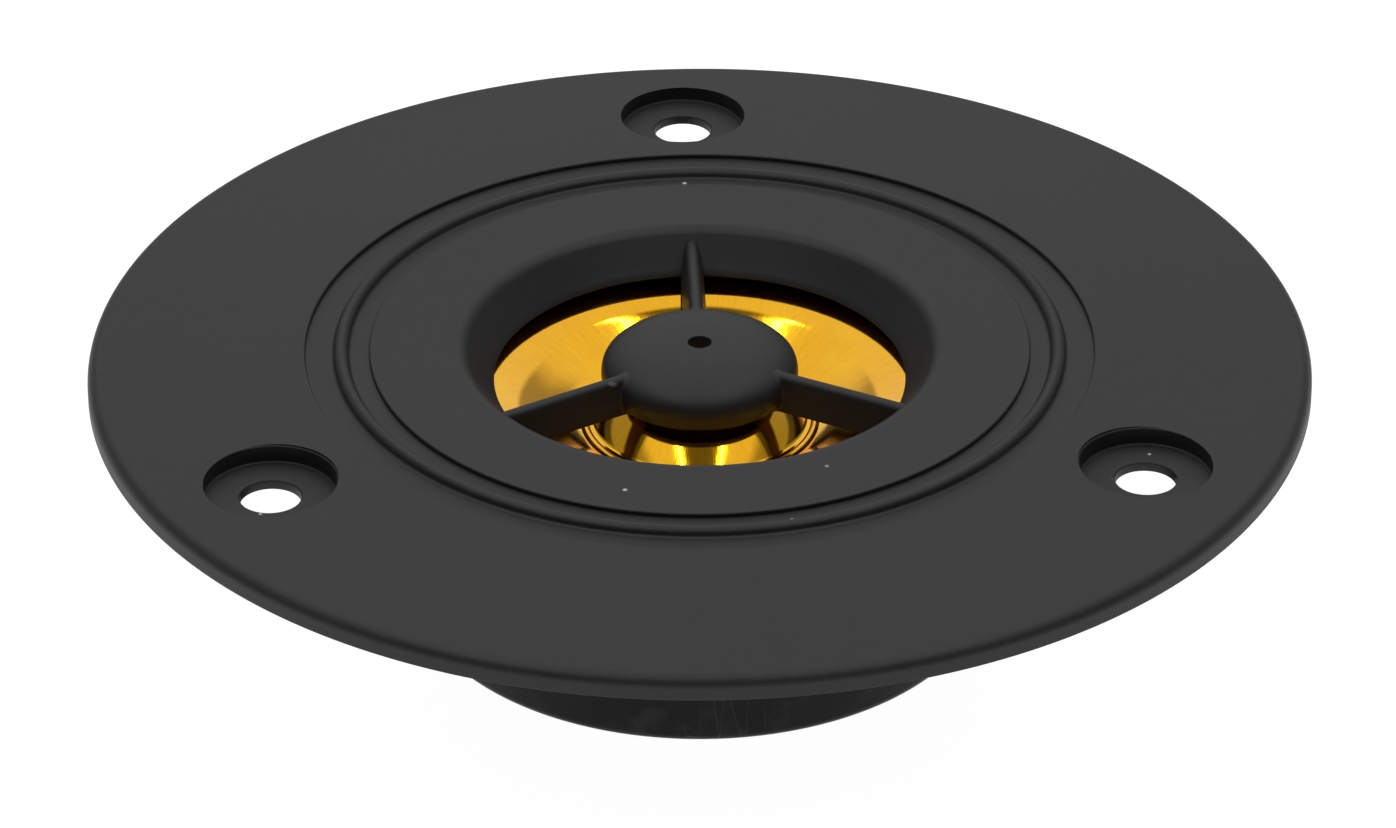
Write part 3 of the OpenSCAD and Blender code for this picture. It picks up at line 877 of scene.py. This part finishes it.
link(first.outputs["Vector"], row.inputs["Start Location"])
link(apart.outputs["Vector"], row.inputs["Offset"])
stamp = rivet_tree.nodes.new("GeometryNodeInstanceOnPoints")
stamp.inputs["Rotation"].default_value = (-math.pi / 2, 0, 0)
link(row.outputs["Mesh"], stamp.inputs["Points"])
link(source.outputs["Geometry"], stamp.inputs["Instance"])
painted(rivet_tree, stamp.outputs["Instances"], given.outputs["Finish"], result)
rivets = grown("hollow_rivets", rivet_tree, {
    "Rivet": rivet, "Spacing": 2 * rivet_x, "Count": 2, "Height": rivet_z, "Finish": bright_brass})
bpy.data.objects.remove(rivet)
shaded(rivets, bright_brass, 50)
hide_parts("terminal_rivets")
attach(rivets, "driver")

# ---------------------------------------------------------------- view of the driver
# The driver stands on the floor of its cup and is seen from a little above its front,
# with a long lens, so that the round flange shows as a flat oval.
camera_distance = 0.5309
camera_elevation = math.radians(29.9376)
camera_azimuth = math.radians(2.0469)
camera_yaw = math.radians(-0.015)
camera_pitch = math.radians(0.598)
camera_roll = math.radians(0.127)
camera_lens = 178.087
disc_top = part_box("faceplate")[1].z
camera_data = bpy.data.cameras.new("camera")
camera_data.lens = camera_lens
camera_data.sensor_width = 36
camera_data.clip_start = 0.01
camera = bpy.data.objects.new("camera", camera_data)
bpy.context.scene.collection.objects.link(camera)
towards_camera = Vector((
    -math.cos(camera_elevation) * math.sin(camera_azimuth),
    -math.cos(camera_elevation) * math.cos(camera_azimuth),
    math.sin(camera_elevation),
))
aim = towards_camera.to_track_quat("Z", "Y").to_matrix()
aim = aim @ Matrix.Rotation(-camera_yaw, 3, "Y")
aim = aim @ Matrix.Rotation(-camera_pitch, 3, "X") @ Matrix.Rotation(-camera_roll, 3, "Z")
place = Vector((0, 0, disc_top)) + towards_camera * camera_distance
camera.matrix_world = Matrix.Translation(place) @ aim.to_4x4()
bpy.context.scene.camera = camera
bpy.context.scene.view_settings.view_transform = "Standard"

# ---------------------------------------------------------------- floor and light
# A white sweep under the driver in a bright tent, darker in front, overhead and at the sides.
# Two long soft strips overhead give the gold its streaks.
floor_mesh = bpy.data.meshes.new("floor")
reach = 3.0
floor_z = cup_low.z
floor_mesh.from_pydata([(-reach, -reach, floor_z), (reach, -reach, floor_z), (reach, reach, floor_z),
                        (-reach, reach, floor_z)], [], [(0, 1, 2, 3)])
floor = bpy.data.objects.new("floor", floor_mesh)
bpy.context.scene.collection.objects.link(floor)
white = Finish("white_sweep", Roughness=0.9, Specular_IOR_Level=0.1, Emission_Strength=0.98)
white.shader.inputs["Base Color"].default_value = (0.16, 0.16, 0.16, 1)
white.shader.inputs["Emission Color"].default_value = (1, 1, 1, 1)
floor_mesh.materials.append(white.material)

world = bpy.data.worlds.new("tent")
world.use_nodes = True
bpy.context.scene.world = world
background = world.node_tree.nodes["Background"]
sky = Socket(world.node_tree, world.node_tree.nodes.new("ShaderNodeTexCoord").outputs["Generated"])
height = sky.axis(2)
high = sky.maths("MAXIMUM", height, 0.03)
across = sky.maths("ABSOLUTE", sky.axis(0) / high)
along = sky.axis(1) / high
overhead_gap = (1 - across.step(0.20, 0.27)) * (1 - along.step(0.30, 0.42)) * along.step(-1.3, -1.0)
side = across.step(0.72, 1.0)
behind = (height + sky.axis(1) * 0.8).step(0.0, 0.55)
tent = 0.86 * (1 - overhead_gap * 0.85) * (1 - side * 0.6)
glow = tent * (0.03 + behind * 0.97)
world.node_tree.links.new(glow.out, background.inputs["Color"])
strip_x = 0.128
strip_y = -0.06
strip_z = 0.42
for x in (-strip_x, strip_x):
    strip = bpy.data.lights.new("strip", "AREA")
    strip.shape = "RECTANGLE"
    strip.size = 0.018
    strip.size_y = 0.55
    strip.energy = 0.42
    lamp = bpy.data.objects.new("strip", strip)
    lamp.location = (x, strip_y, strip_z)
    bpy.context.scene.collection.objects.link(lamp)
